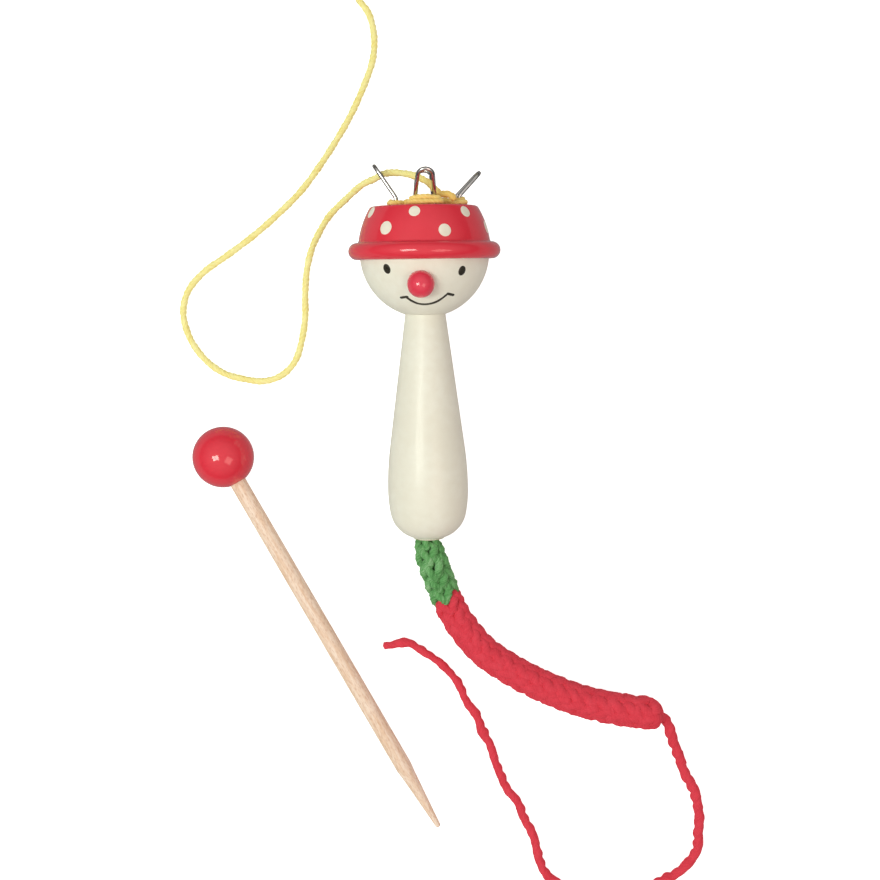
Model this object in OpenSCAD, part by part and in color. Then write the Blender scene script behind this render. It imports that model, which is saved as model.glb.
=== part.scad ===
// Knitting nancy: a wooden spool-knitting doll that lies on a table with its lifting needle.
// Lengths are in millimetres and angles in degrees. The doll is turned about its own axis, which
// runs from the rounded end of the handle (height 0) up through the hat, with its face towards -Y.
// The finished doll is then laid down on its brim and belly, face up, hat towards +Y.

/* [Handle] */
// Length of the handle from its rounded end to the neck
handle_l = 67.6; // [60:0.1:76]
// Radius of the neck, where the handle meets the head
neck_r = 6; // [5.7:0.1:7.2]
// Radius of the belly, the widest place of the handle
belly_r = 12.1; // [11:0.1:13.5]
// Height of the belly above the rounded end
belly_h = 14.9; // [13:0.1:18]
// Radius of the long curve from the belly towards the neck
belly_upper_r = 100; // [70:1:120]
// Radius of the shorter curve from the belly towards the end
belly_lower_r = 40; // [34:1:50]
// Radius of the rounded end
end_r = 9.3; // [8:0.1:10]
// Radius of the tenon that goes into the head
tenon_r = 5.2; // [4.9:0.1:5.5]
// Length of the tenon
tenon_l = 7; // [4:0.5:9]

/* [Head] */
// Radius of the ball that the head is turned from
head_r = 19.1; // [17:0.1:20.5]
// Height of the head that shows between the neck and the hat
head_l = 16.1; // [14:0.1:18]
// Radius of the spigot that carries the hat
spigot_r = 8; // [7:0.1:9]
// Length of the spigot
spigot_l = 6; // [4:0.5:7]

/* [Hat] */
// Height of the hat from the underside of its brim to its top
hat_h = 15.4; // [14.5:0.1:18]
// Radius of the brim over its round edge
brim_r = 22.4; // [22:0.1:25]
// Radius of the brim's round edge, half its thickness
brim_edge_r = 2.5; // [2:0.1:3]
// Radius of the crown just above the brim
crown_base_r = 19.4; // [18.5:0.1:20.5]
// Radius of the crown at its top, before its edge is rounded
crown_top_r = 15.7; // [14.5:0.1:17]
// Radius of the curve of the crown's side
crown_side_r = 26; // [20:0.5:40]
// Radius of the crown's rounded top edge
crown_edge_r = 1.3; // [0.8:0.1:2]
// Radius of the rounded mouth of the hole in the hat
mouth_edge_r = 1.5; // [0.5:0.1:2]

/* [Nose] */
// Radius of the nose
nose_r = 3.9; // [3:0.1:4.5]
// How far the middle of the nose stands off the head
nose_stand = 1.4; // [0.8:0.1:2]
// Angle of the nose below the middle of the ball
nose_drop = 26; // [16:0.5:30]
// Angle of the nose to one side of the face
nose_turn = -3; // [-4:0.5:4]
// Radius of the peg behind the nose
peg_r = 1.5; // [1:0.1:1.8]
// Length of the peg
peg_l = 6; // [4:0.5:8]

/* [Staples] */
// Radius of the wire
wire_r = 0.58; // [0.45:0.01:0.7]
// Distance between the two legs of a staple
leg_gap = 5.4; // [4.8:0.1:6.2]
// Distance between the leaning legs where the arch begins
arch_gap = 4.4; // [3.6:0.1:5.4]
// Depth of the legs in the hat
leg_depth = 6.5; // [4:0.5:7.5]
// Height of the straight legs above the hat
stem_l = 2; // [2:0.1:4]
// Radius of the bend at the top of the straight legs
bend_r = 1.8; // [1.4:0.1:2.5]
// Length of the back and left staples' leaning legs, between the bend and the arch
arm_l = 8.3; // [5:0.1:10]
// Length of the front staple's leaning legs
front_arm_l = 6.2; // [5:0.1:10]
// Length of the right staple's leaning legs
right_arm_l = 6.6; // [5:0.1:10]
// Turn of the front staple away from the middle of the face
front_turn = 3; // [0:0.5:6]
// Turn of the right staple towards the back
right_turn = 10; // [0:0.5:14]
// Distance of the front and back staples from the axis
staple_r = 9.5; // [9:0.1:10.5]
// Distance of the left staple from the axis
left_staple_r = 8.1; // [7.8:0.1:10]
// Distance of the right staple from the axis
right_staple_r = 10; // [9:0.1:10.5]
// Lean of the front and back staples away from the axis
staple_lean = 38; // [25:1:48]
// Lean of the left staple
left_lean = 34; // [25:1:48]
// Lean of the right staple
right_lean = 44; // [25:1:48]

/* [Needle] */
// Radius of the needle's bead
bead_r = 9.3; // [8:0.1:10.5]
// Radius of the needle's shaft
shaft_r = 2.55; // [2.4:0.05:3.2]
// Length of the shaft's straight part, from the bead to the taper
shank_l = 102.5; // [80:0.5:120]
// Length of the taper
taper_l = 21.5; // [15:0.5:30]
// Radius of the blunt tip
tip_r = 0.8; // [0.5:0.1:1.2]
// Radius of the shaft's turned-down end in the bead
shaft_end_r = 2.1; // [1.8:0.1:2.3]
// Depth of the shaft's end in the bead
shaft_end_l = 9; // [6:0.5:12]

/* [Yarn] */
// Radius of the hole through the handle, head and hat
bore_r = 4; // [3.6:0.1:4.4]
// Radius of the yellow yarn
yarn_r = 1; // [0.8:0.05:1.05]
// Radius of the red yarn of the tail
tail_r = 1.5; // [1.2:0.05:1.6]
// Radius of the knitted cord where it leaves the handle
cord_exit_r = 3.75; // [3.3:0.05:3.9]
// Radius of the knitted cord along its green and red lengths
cord_r = 4.5; // [4:0.1:4.6]
// Radius of the knitted cord near its far end
cord_end_r = 5.2; // [4.6:0.1:5.3]
// Turns of yellow yarn in the coil
coil_turns = 17.6; // [12:0.1:18]
// Radius of the coil at the middle of its turns
coil_mid_r = 11; // [10:0.5:12]
// Distance between neighbouring turns, and between layers of the coil
coil_step = 2.48; // [2.46:0.02:2.6]
// Thickness of the tie round the coil
tie_t = 0.6; // [0.4:0.1:1]
// Width of the tie
tie_w = 3; // [2:0.5:4]

/* [Fits] */
// Gap for glue round a tenon, spigot, peg, leg or shaft end
glue_gap = 0.1; // [0.05:0.01:0.2]
// Gap between soft yarn and what it lies against
soft_gap = 0.1; // [0.05:0.01:0.2]

/* [Place] */
// Place of the handle's end across the table
doll_x = 25.1; // [20:0.1:30]
// Place of the handle's end along the table
doll_y = -11; // [-16:0.1:-6]
// Turn of the doll on the table
doll_turn = 0.8; // [0:0.1:2]
// Place of the needle's bead across the table
bead_x = -37.6; // [-50:0.1:-30]
// Place of the needle's bead along the table
bead_y = 13.4; // [5:0.1:20]
// Turn of the needle on the table
needle_turn = 29.7; // [25:0.1:34]

/* [Hidden] */
$fn = 96;

// Colours of the finishes
red_paint = "#d81f35";
ivory_paint = "#efeadb";
yellow_yarn = "#f3d233";
green_yarn = "#2f8f3e";
red_yarn = "#d3202f";
steel_wire = "#b9bcc0";
beech = "#e6c29b";

// Wider than any outline, for cutting
reach = 60;

// Handle: circles of the belly and the end, and the points where they run into each other
upper_c = [belly_r - belly_upper_r, belly_h];
lower_c = [belly_r - belly_lower_r, belly_h];
end_drop = belly_h - end_r;
end_c = [lower_c.x + sqrt(pow(belly_lower_r - end_r, 2) - end_drop * end_drop), end_r];
end_join = lower_c + belly_lower_r / (belly_lower_r - end_r) * (end_c - lower_c);
neck = [neck_r, handle_l];
neck_angle = atan2(neck.y - upper_c.y, neck.x - upper_c.x) - acos(belly_upper_r / norm(neck - upper_c));
cone_join = upper_c + belly_upper_r * [cos(neck_angle), sin(neck_angle)];

// Head: the ball's middle is where its surface meets the neck, and the hat sits on a flat cut
ball_h = handle_l + sqrt(head_r * head_r - neck_r * neck_r);
seat_h = handle_l + head_l;

// Hat: brim circle, crown circle and the small circle of the top edge
hat_top = seat_h + hat_h;
crease_h = seat_h + 2 * brim_edge_r;
brim_c = [brim_r - brim_edge_r, seat_h + brim_edge_r];
crown_foot = [crown_base_r, crease_h];
crown_head = [crown_top_r, hat_top];
crown_chord = crown_head - crown_foot;
crown_sag = sqrt(crown_side_r * crown_side_r - crown_chord * crown_chord / 4);
crown_c = (crown_foot + crown_head) / 2 + crown_sag * [-crown_chord.y, crown_chord.x] / norm(crown_chord);
edge_h = hat_top - crown_edge_r;
edge_reach = crown_side_r - crown_edge_r;
edge_c = [crown_c.x + sqrt(edge_reach * edge_reach - pow(edge_h - crown_c.y, 2)), edge_h];
edge_join = crown_c + crown_side_r / edge_reach * (edge_c - crown_c);

// Staples: turn about the axis, distance from the axis, lean, length of the leaning legs
front_side = [front_turn - 90, staple_r, staple_lean, front_arm_l];
right_side = [right_turn, right_staple_r, right_lean, right_arm_l];
back_side = [90, staple_r, staple_lean, arm_l];
left_side = [180, left_staple_r, left_lean, arm_l];
SIDES = [front_side, right_side, back_side, left_side];

// Round of stitches: where its corners stand off a staple's legs, and where it turns in between two staples
leg_clear = wire_r + yarn_r + 2 * soft_gap;
round_corner = 0.8 * leg_clear;
round_front = 1.1 * leg_clear;
round_back = 1;
round_slack = 0.4;
turn_in_r = bore_r + yarn_r + soft_gap + round_slack;
turn_in_half = 3.6;

// The laid doll touches the table with its brim and with the lower curve of its belly
brim_over_belly = brim_c - lower_c;
brim_far = norm(brim_over_belly);
tilt = atan2(brim_over_belly.x, brim_over_belly.y) - asin((belly_lower_r - brim_edge_r) / brim_far);
rest_h = lower_c.x * cos(tilt) - lower_c.y * sin(tilt) + belly_lower_r;

// The laid needle touches the table with its bead and with the shoulder of its taper
bead_flat = sqrt(bead_r * bead_r - shaft_r * shaft_r);
shoulder = bead_flat + shank_l;
needle_slope = asin(bead_r / norm([shoulder, shaft_r])) - atan2(shaft_r, shoulder);

// Sides and rings of the yarn tubes
yarn_sides = 8;
cord_sides = 12;
coil_sides = 6;
coil_rings = 24;
wire_sides = 12;
bend_rings = 4;
arch_rings = 12;
route_steps = 2;

// A point of the standing doll, moved to where it lies on the table
function turned(p, a) = [p.x * cos(a) - p.y * sin(a), p.x * sin(a) + p.y * cos(a), p.z];
function tipped(p, a) = [p.x, p.y * cos(a) - p.z * sin(a), p.y * sin(a) + p.z * cos(a)];
function laid(p) = [doll_x, doll_y, rest_h] + turned(tipped(p, tilt - 90), doll_turn);

// Points of a smooth closed curve through corners, n steps between neighbours
function blended(a, b, c, d, t) =
    b + t / 2 * (c - a) + t * t * (a - 2.5 * b + 2 * c - d / 2) + t * t * t * (1.5 * b - 1.5 * c + (d - a) / 2);
function smooth_ring(p, n) = [
    for (i = [0 : len(p) - 1], k = [0 : n - 1])
        blended(p[(i + len(p) - 1) % len(p)], p[i], p[(i + 1) % len(p)], p[(i + 2) % len(p)], k / n)
];
function unit(v) = v / norm(v);

// Where yarn lies, a route's third number is the height of the yarn's underside over the table
function lying(route, r) = [for (p = route) [p.x, p.y, p.z + r]];

// Knitted cord: straight out of the handle, down to the table and away to the right
cord_way = unit(laid([0, 0, -1]) - laid([0, 0, 0]));
green_route = [[26.4, -19, 4.2], [28.2, -24.2, 2.1], [30.5, -30, 0.4]];
red_route = [[33.2, -35.5, 0], [37, -41, 0], [42, -46.5, 0], [48.5, -51, 0], [55.5, -55, 0], [63, -58.5, 0],
             [71, -61.5, 0], [79, -63.5, 0], [87.5, -65, 0], [94.5, -65.6, 0], [97.5, -65.8, 0]];

// Red tail: from the end of the knitted cord, round to the right and back under the cord's bend
tail_route = [[98.4, -68.2, 1.7], [101, -74.5, 0], [102.5, -79, 0], [105, -85.5, 0], [108, -91.5, 0],
              [109, -97, 0], [109, -103, 0], [108.5, -108.5, 0], [105, -114, 0], [98, -118.5, 0],
              [89.5, -122, 0], [81, -123.5, 0], [71.5, -122, 0], [64, -118.5, 0], [60, -114, 0],
              [58, -106, 0], [54.5, -98.5, 0], [52.5, -94, 0], [49.5, -90, 0], [47, -85, 0],
              [44.5, -77.5, 0], [42, -72.5, 0], [40, -67.5, 0], [37, -63, 0], [34, -57, 0],
              [31, -53, 0], [26, -49, 0], [21.5, -46, 0], [17.5, -44.5, 0], [11.5, -45.5, 0]];

// Yellow yarn: over the hat behind the front staple, round the left staple, down to the table,
// then in one wide bend up to its coil. On the hat it is set out from the axis and the round of stitches
coil_c = [8.4, 175.9];
coil_lift = tie_t + soft_gap + yarn_r;
coil_entry = 221;
loops_h = hat_top + soft_gap + yarn_r;
yarn_on_hat = [[5.4, -5, 2.6], [1.4, -3.6, 5.6], [-2.7, -1, 7.7], [-7.4, 2, 8.8],
               [-11.6, 3.6, 8.7], [-14.5, 5.4, 7.4]];
yarn_on_table = [[5, 95, 15], [0, 92.5, 7.5], [-5.5, 88.5, 2], [-9, 83.5, 0.2], [-11.5, 78, 0], [-13, 71.5, 0],
                 [-13.5, 64, 0], [-13.5, 57, 0], [-14.5, 50, 0], [-16.5, 43.5, 0], [-20.5, 39, 0], [-26, 37, 0],
                 [-32, 37.5, 0], [-39, 39.5, 0], [-45, 44, 0], [-49.5, 50.5, 0], [-51.5, 58, 0], [-50, 65, 0],
                 [-45, 71, 0], [-38, 76, 0], [-30, 82, 0], [-22.5, 88.5, 0], [-15, 96, 0], [-9, 104, 0],
                 [-3.5, 112.5, 0], [1, 120.5, 0], [5, 129.5, 0], [7.5, 137, 0], [8, 144, 0], [6.5, 151, 0],
                 [3, 156, 0.1]];

// Coil: turns spiral in and out in four layers, and climb a layer in the half turn of each reversal
coil_layers = 4;
layer_turns = coil_turns / coil_layers;
coil_spread = layer_turns * coil_step;
coil_out_r = coil_mid_r + coil_spread / 2;
coil_run_in = 2 * yarn_r;
function coil_r(t) = coil_out_r - coil_step * abs((t + layer_turns) % (2 * layer_turns) - layer_turns);
function coil_layer(t) = let (n = floor(t / layer_turns), s = t - n * layer_turns)
    s < 0.25 && n > 0 ? n - 0.5 + 2 * s :
    s > layer_turns - 0.25 && n < coil_layers - 1 ? n + 0.5 - 2 * (layer_turns - s) : n;
function coil_point(t) = let (a = coil_entry - 360 * t, r = coil_r(t))
    [coil_c.x + r * cos(a), coil_c.y + r * sin(a), coil_lift + coil_step * coil_layer(t)];
coil_count = round(coil_turns * coil_rings);
coil_start = coil_point(0);
coil_heading = [sin(coil_entry), -cos(coil_entry), 0];
coil_path = concat([coil_start - coil_run_in * coil_heading],
                   [for (i = [0 : coil_count]) coil_point(i / coil_rings)]);
coil_top = coil_lift + coil_step * (coil_layers - 1) + yarn_r;
coil_in_r = coil_out_r - coil_spread;
tie_before_end = 20;
tie_angle = coil_entry - 360 * coil_turns + tie_before_end;

// Least distance between turns that are at least a third of a turn apart along the yarn
apart = coil_rings / 3;
function near(i) = min([for (j = [i + apart : len(coil_path) - 1]) norm(coil_path[i] - coil_path[j])]);
coil_gap = min([for (i = [0 : len(coil_path) - 1 - apart]) near(i)]) - 2 * yarn_r;
echo(least_gap_in_the_coil = coil_gap);

working_route = concat([for (p = yarn_on_hat) laid(p + [0, 0, loops_h])],
                       lying(yarn_on_table, yarn_r),
                       [coil_path[0]]);

// Radius of a tapering cord at each of n points, from one size to another
function taper_sizes(n, from, to) = [for (i = [0 : n - 1]) from + (to - from) * i / (n - 1)];
function same_sizes(n, r) = [for (i = [0 : n - 1]) r];

// The whole free knitted cord, green then red: it widens from the handle and swells towards its far end,
// which closes in
green_count = len(green_route) + 2;
red_count = len(red_route);
green_sizes = taper_sizes(green_count, cord_exit_r, cord_r);
red_sizes = concat(taper_sizes(red_count - 1, cord_r, cord_end_r), [cord_end_r / 2]);
green_path = concat([laid([0, 0, 0]), laid([0, 0, -cord_exit_r])],
                    [for (i = [2 : green_count - 1]) green_route[i - 2] + [0, 0, green_sizes[i]]]);
red_path = concat([green_path[green_count - 1]],
                  [for (i = [0 : red_count - 1]) red_route[i] + [0, 0, red_sizes[min(i, red_count - 2)]]]);
join_way = unit(red_path[1] - green_path[green_count - 2]);

// Moves the standing doll to where it lies
module lay_doll() {
    translate([doll_x, doll_y, rest_h]) rotate([0, 0, doll_turn]) rotate([tilt - 90, 0, 0]) children();
}

// Moves the needle, drawn from its bead towards +Z, to where it lies
module lay_needle() {
    translate([bead_x, bead_y, bead_r]) rotate([0, 0, needle_turn]) rotate([90 + needle_slope, 0, 0]) children();
}

// The part of a circle between two heights, on the +X side of the axis
module arc_band(centre, r, low, high) {
    intersection() {
        translate(centre) circle(r = r);
        translate([0, low]) square([reach, high - low]);
    }
}

// A round tube along a path. sizes holds one radius for each point, and the path never runs along side_on.
// start_way and end_way are the headings at the ends, where the tube meets another piece squarely
module tube(path, sizes, sides, ring = false, side_on = [0, 0, 1], start_way = undef, end_way = undef) {
    count = len(path);
    last = count - 1;
    function along(i) =
        ring ? unit(path[(i + 1) % count] - path[(i + last) % count]) :
        i == 0 && !is_undef(start_way) ? start_way :
        i == last && !is_undef(end_way) ? end_way :
        unit(path[min(i + 1, last)] - path[max(i - 1, 0)]);
    function across(i) = unit(cross(along(i), side_on));
    function vertex(i, k) = path[i] + sizes[i] * (cos(360 * k / sides) * across(i)
                                                  + sin(360 * k / sides) * cross(across(i), along(i)));
    function index(i, k) = (i % count) * sides + k % sides;
    skin = [for (i = [0 : ring ? last : last - 1], k = [0 : sides - 1], upper = [false, true])
        upper ? [index(i, k), index(i + 1, k + 1), index(i, k + 1)]
              : [index(i, k), index(i + 1, k), index(i + 1, k + 1)]];
    ends = ring ? [] : [for (k = [1 : sides - 2], far = [false, true])
        far ? [index(last, 0), index(last, k + 1), index(last, k)]
            : [index(0, 0), index(0, k), index(0, k + 1)]];
    polyhedron(points = [for (i = [0 : last], k = [0 : sides - 1]) vertex(i, k)], faces = concat(skin, ends));
}

module handle() {
    color(ivory_paint) lay_doll() rotate_extrude() difference() {
        union() {
            square([end_c.x, belly_h]);
            arc_band(end_c, end_r, 0, end_join.y);
            arc_band(lower_c, belly_lower_r, end_join.y, belly_h);
            arc_band(upper_c, belly_upper_r, belly_h, cone_join.y);
            polygon([[0, cone_join.y], cone_join, neck, [0, handle_l]]);
            square([tenon_r, handle_l + tenon_l]);
        }
        square([bore_r, handle_l + tenon_l]);
    }
}

// The line through the nose: its place on the ball
module at_nose() {
    translate([0, 0, ball_h]) rotate([0, 0, nose_turn]) rotate([90 + nose_drop, 0, 0]) children();
}

module head() {
    color(ivory_paint) lay_doll() difference() {
        rotate_extrude() difference() {
            union() {
                arc_band([0, ball_h], head_r, handle_l, seat_h);
                square([spigot_r, seat_h + spigot_l]);
            }
            square([bore_r, seat_h + spigot_l]);
            square([tenon_r + glue_gap, handle_l + tenon_l + glue_gap]);
            square([reach, handle_l]);
        }
        at_nose() translate([0, 0, head_r - peg_l - glue_gap]) cylinder(r = peg_r + glue_gap, h = reach);
    }
}

// Moves a staple, or the holes for its legs, to its side of the hat's top
module at_side(side) {
    rotate([0, 0, side[0]]) translate([side[1], 0, hat_top]) children();
}

module hat() {
    color(red_paint) lay_doll() difference() {
        rotate_extrude() difference() {
            union() {
                translate(brim_c) circle(r = brim_edge_r);
                translate([0, seat_h]) square([brim_c.x, 2 * brim_edge_r]);
                arc_band(crown_c, crown_side_r, seat_h + brim_edge_r, edge_join.y);
                translate(edge_c) circle(r = crown_edge_r);
                translate([0, edge_h - crown_edge_r]) square([edge_c.x, 2 * crown_edge_r]);
            }
            square([bore_r, reach + hat_top]);
            square([spigot_r + glue_gap, seat_h + spigot_l + glue_gap]);
            difference() {
                translate([0, hat_top - mouth_edge_r]) square([bore_r + mouth_edge_r, 2 * mouth_edge_r]);
                translate([bore_r + mouth_edge_r, hat_top - mouth_edge_r]) circle(r = mouth_edge_r);
            }
        }
        for (side = SIDES, leg = [-1, 1])
            at_side(side) translate([0, leg * leg_gap / 2, -leg_depth - glue_gap])
                cylinder(r = wire_r + glue_gap, h = reach);
    }
}

// A half ball with a flat back on the head and a peg in the head's hole
module nose() {
    color(red_paint) lay_doll() at_nose() rotate_extrude() {
        intersection() {
            translate([0, head_r + nose_stand]) circle(r = nose_r);
            translate([0, head_r]) square([nose_r, reach]);
        }
        translate([0, head_r - peg_l]) square([peg_r, peg_l]);
    }
}

// One bent wire: two straight legs, a bend, two leaning legs and a half-round arch
module staple(side) {
    lean = side[2];
    bend_end = [bend_r * (1 - cos(lean)), 0, stem_l + bend_r * sin(lean)];
    arm = [sin(lean), 0, cos(lean)];
    half = leg_gap / 2;
    leg = concat([[0, -half, -leg_depth], [0, -half, stem_l]],
                 [for (i = [1 : bend_rings])
                     let (a = lean * i / bend_rings)
                     [bend_r * (1 - cos(a)), -half, stem_l + bend_r * sin(a)]]);
    top = arch_gap / 2;
    arch = [for (i = [0 : arch_rings])
        let (a = 180 * i / arch_rings)
        bend_end + (side[3] + top * sin(a)) * arm + [0, -top * cos(a), 0]];
    other_leg = [for (i = [len(leg) - 1 : -1 : 0]) [leg[i].x, -leg[i].y, leg[i].z]];
    path = concat(leg, arch, other_leg);
    color(steel_wire) lay_doll() at_side(side)
        tube(path, same_sizes(len(path), wire_r), wire_sides, side_on = [1, 0, 0]);
}

// The round of yarn on the staples: out round each pair of legs and in again between the staples
module stitch_loops() {
    half = leg_gap / 2;
    corners = [for (side = SIDES, p = [[turn_in_r, -turn_in_half],
                                       [side[1] - round_back, -half - leg_clear],
                                       [side[1] + round_corner, -half - round_corner],
                                       [side[1] + round_front, 0],
                                       [side[1] + round_corner, half + round_corner],
                                       [side[1] - round_back, half + leg_clear],
                                       [turn_in_r, turn_in_half]])
        turned([p.x, p.y, loops_h], side[0])];
    path = smooth_ring(corners, route_steps);
    color(yellow_yarn) lay_doll() tube(path, same_sizes(len(path), yarn_r), yarn_sides, ring = true);
}

module knitted_core() {
    color(green_yarn) lay_doll() cylinder(r = cord_exit_r, h = hat_top - mouth_edge_r);
}

module knitted_cord_green() {
    color(green_yarn) tube(green_path, green_sizes, cord_sides, start_way = cord_way, end_way = join_way);
}

module knitted_cord_red() {
    color(red_yarn) tube(red_path, concat([cord_r], red_sizes), cord_sides, start_way = join_way);
}

module tail_yarn() {
    path = lying(tail_route, tail_r);
    color(red_yarn) tube(path, same_sizes(len(path), tail_r), yarn_sides);
}

module working_yarn() {
    path = working_route;
    color(yellow_yarn) tube(path, same_sizes(len(path), yarn_r), yarn_sides, end_way = coil_heading);
}

module yarn_coil() {
    color(yellow_yarn) tube(coil_path, same_sizes(len(coil_path), yarn_r), coil_sides);
}

// A flat band round the bundle of turns
module coil_tie() {
    in_side = coil_in_r - yarn_r - soft_gap;
    out_side = coil_out_r + yarn_r + soft_gap;
    inside = [out_side - in_side, coil_top + soft_gap - tie_t];
    color(yellow_yarn) translate([coil_c.x, coil_c.y, 0]) rotate([0, 0, tie_angle])
        translate([in_side, tie_w / 2, tie_t]) rotate([90, 0, 0]) linear_extrude(tie_w) difference() {
            translate([-tie_t, -tie_t]) square(inside + 2 * [tie_t, tie_t]);
            square(inside);
        }
}

module needle_shaft() {
    tip_h = shoulder + taper_l - tip_r;
    color(beech) lay_needle() rotate_extrude() {
        polygon([[0, bead_flat - shaft_end_l], [shaft_end_r, bead_flat - shaft_end_l], [shaft_end_r, bead_flat],
                 [shaft_r, bead_flat], [shaft_r, shoulder], [tip_r, tip_h], [0, tip_h]]);
        arc_band([0, tip_h], tip_r, tip_h - tip_r, tip_h + tip_r);
    }
}

module needle_bead() {
    color(red_paint) lay_needle() rotate_extrude() difference() {
        arc_band([0, 0], bead_r, -bead_r, bead_flat);
        translate([0, bead_flat - shaft_end_l - glue_gap]) square([shaft_end_r + glue_gap, reach]);
    }
}

handle();
head();
hat();
nose();
staple(front_side);  // staple_front
staple(back_side);  // staple_back
staple(left_side);  // staple_left
staple(right_side);  // staple_right
stitch_loops();
knitted_core();
knitted_cord_green();
knitted_cord_red();
tail_yarn();
working_yarn();
yarn_coil();
coil_tie();
needle_shaft();
needle_bead();
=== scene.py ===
# %% [markdown]
# # A knitting nancy
# A knitting nancy is a hollow wooden doll with four wire staples in its hat. Yarn is wound round the
# staples and lifted over with a wooden needle, and a knitted cord grows out of the handle.
# The solid model gives every piece its place, in metres, with the table at height 0. This lesson
# dresses it: smooth turned wood, enamel, bent wire, plied yarn and real stitches.
# All sizes below are written in millimetres and turned to metres where a mesh is made.

import bmesh
import bpy
import numpy as np
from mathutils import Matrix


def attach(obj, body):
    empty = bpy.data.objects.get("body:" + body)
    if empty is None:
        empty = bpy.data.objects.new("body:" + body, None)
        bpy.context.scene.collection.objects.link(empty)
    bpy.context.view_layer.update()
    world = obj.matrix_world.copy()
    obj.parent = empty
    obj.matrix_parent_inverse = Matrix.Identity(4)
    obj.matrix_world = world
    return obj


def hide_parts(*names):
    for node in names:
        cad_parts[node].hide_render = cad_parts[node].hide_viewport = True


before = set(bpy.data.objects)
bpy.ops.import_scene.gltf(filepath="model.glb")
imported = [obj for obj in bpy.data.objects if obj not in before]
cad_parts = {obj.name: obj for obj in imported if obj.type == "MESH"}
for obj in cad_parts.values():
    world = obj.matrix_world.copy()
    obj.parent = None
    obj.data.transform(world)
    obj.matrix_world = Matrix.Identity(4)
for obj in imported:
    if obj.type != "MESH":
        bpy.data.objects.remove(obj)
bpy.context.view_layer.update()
MM = 0.001
scene = bpy.context.scene

# %% [markdown]
# ## The camera
# The doll lies on its back and is photographed from straight above. A camera with no rotation already
# looks down with +Y up the picture, so only its place and its lens are needed. The lens is written as a
# focal length in pixels of the square picture, because that is what can be measured on it.

# %% Camera
PICTURE_PX = 880
FOCAL_PX = 1250
CAMERA_PLACE = np.array([28.5, 18.6, 390.6])
SENSOR = 36

camera = bpy.data.objects.new("camera", bpy.data.cameras.new("camera"))
camera.data.sensor_width = SENSOR
camera.data.lens = SENSOR * FOCAL_PX / PICTURE_PX
camera.location = CAMERA_PLACE * MM
scene.collection.objects.link(camera)
scene.camera = camera
print(f"camera lens {camera.data.lens:.1f} mm, {CAMERA_PLACE[2]:.0f} mm above the table")

# %% [markdown]
# ## Small helpers for nodes and colours
# Colours are chosen as sRGB hex codes, the way a paint chart gives them, but shaders work in linear
# light, so one function converts them. One more adds a node: inputs are given by name, and an input
# that is another node's output becomes a link.

# %% Colour and node helpers
def linear(code):
    """Linear red, green, blue and alpha of an sRGB hex colour: c/12.92 in the dark, a 2.4 power above."""
    c = np.array([int(code[i:i + 2], 16) for i in (1, 3, 5)]) / 255
    return (*np.where(c <= 0.04045, c / 12.92, ((c + 0.055) / 1.055) ** 2.4), 1.0)


def add_node(tree, kind, inputs=None, **settings):
    """Adds a node, sets its properties, and sets or links its inputs by name or number."""
    node = tree.nodes.new(kind)
    for name, value in settings.items():
        setattr(node, name, value)
    for name, value in (inputs or {}).items():
        if isinstance(value, bpy.types.NodeSocket):
            tree.links.new(value, node.inputs[name])
        else:
            node.inputs[name].default_value = value
    return node


def new_material(name):
    """An empty node material and its output node."""
    material = bpy.data.materials.new(name)
    material.use_nodes = True
    material.node_tree.nodes.clear()
    return material, material.node_tree, add_node(material.node_tree, "ShaderNodeOutputMaterial")


# %% [markdown]
# ## Light and table
# The picture was taken on a white sheet under a bright ceiling in a darker room. A bright lamp on the left
# and a wider, weaker, warmer one on the right each leave a highlight on the gloss. Window light from the left
# is too soft to leave one, so its lamp is hidden from mirrors. The dark walls draw the dark lines along shiny
# wire, so the room that a mirror sees is darker low down than the one that lights the dull pieces. Straight
# up, where the camera hangs, little light comes down.
# The sheet was exposed until it lost its shadows, though it threw back no more light than paper does.
# A floor whose extra shine only the camera sees does the same, and the backdrop behind it stays pale.

# %% World
scene.view_settings.view_transform = "Standard"
scene.view_settings.look = "None"
world = bpy.data.worlds.new("studio")
scene.world = world
world.use_nodes = True
studio = world.node_tree
studio.nodes.clear()
way = add_node(studio, "ShaderNodeTexCoord").outputs["Generated"]
towards = add_node(studio, "ShaderNodeSeparateXYZ", {0: way}).outputs
walls = add_node(studio, "ShaderNodeMapRange", {
    "Value": towards["X"], "From Min": -1, "From Max": 1, "To Min": 0.82, "To Max": 0.86}).outputs[0]
ceiling = add_node(studio, "ShaderNodeMapRange", {
    "Value": towards["Z"], "From Min": 0.55, "From Max": 1, "To Min": walls, "To Max": 0.1}).outputs[0]
room = add_node(studio, "ShaderNodeMapRange", {
    "Value": towards["Z"], "From Min": 0.05, "From Max": 0.5, "To Min": 0.12, "To Max": ceiling}).outputs[0]
mirrored = add_node(studio, "ShaderNodeMapRange", {
    "Value": towards["Z"], "From Min": 0.2, "From Max": 0.8, "To Min": 0.03, "To Max": 0.68}).outputs[0]
ray = add_node(studio, "ShaderNodeLightPath").outputs
around = add_node(studio, "ShaderNodeMapRange", {
    "Value": ray["Is Glossy Ray"], "To Min": room, "To Max": mirrored}).outputs[0]
bright = add_node(studio, "ShaderNodeMapRange", {
    "Value": ray["Is Camera Ray"], "To Min": around, "To Max": 0.8}).outputs[0]
sky = add_node(studio, "ShaderNodeBackground", {"Color": linear("#fbfaf7"), "Strength": bright})
add_node(studio, "ShaderNodeOutputWorld", {"Surface": sky.outputs[0]})
print("studio: bright below the ceiling, darker along the walls and straight up")

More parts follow.
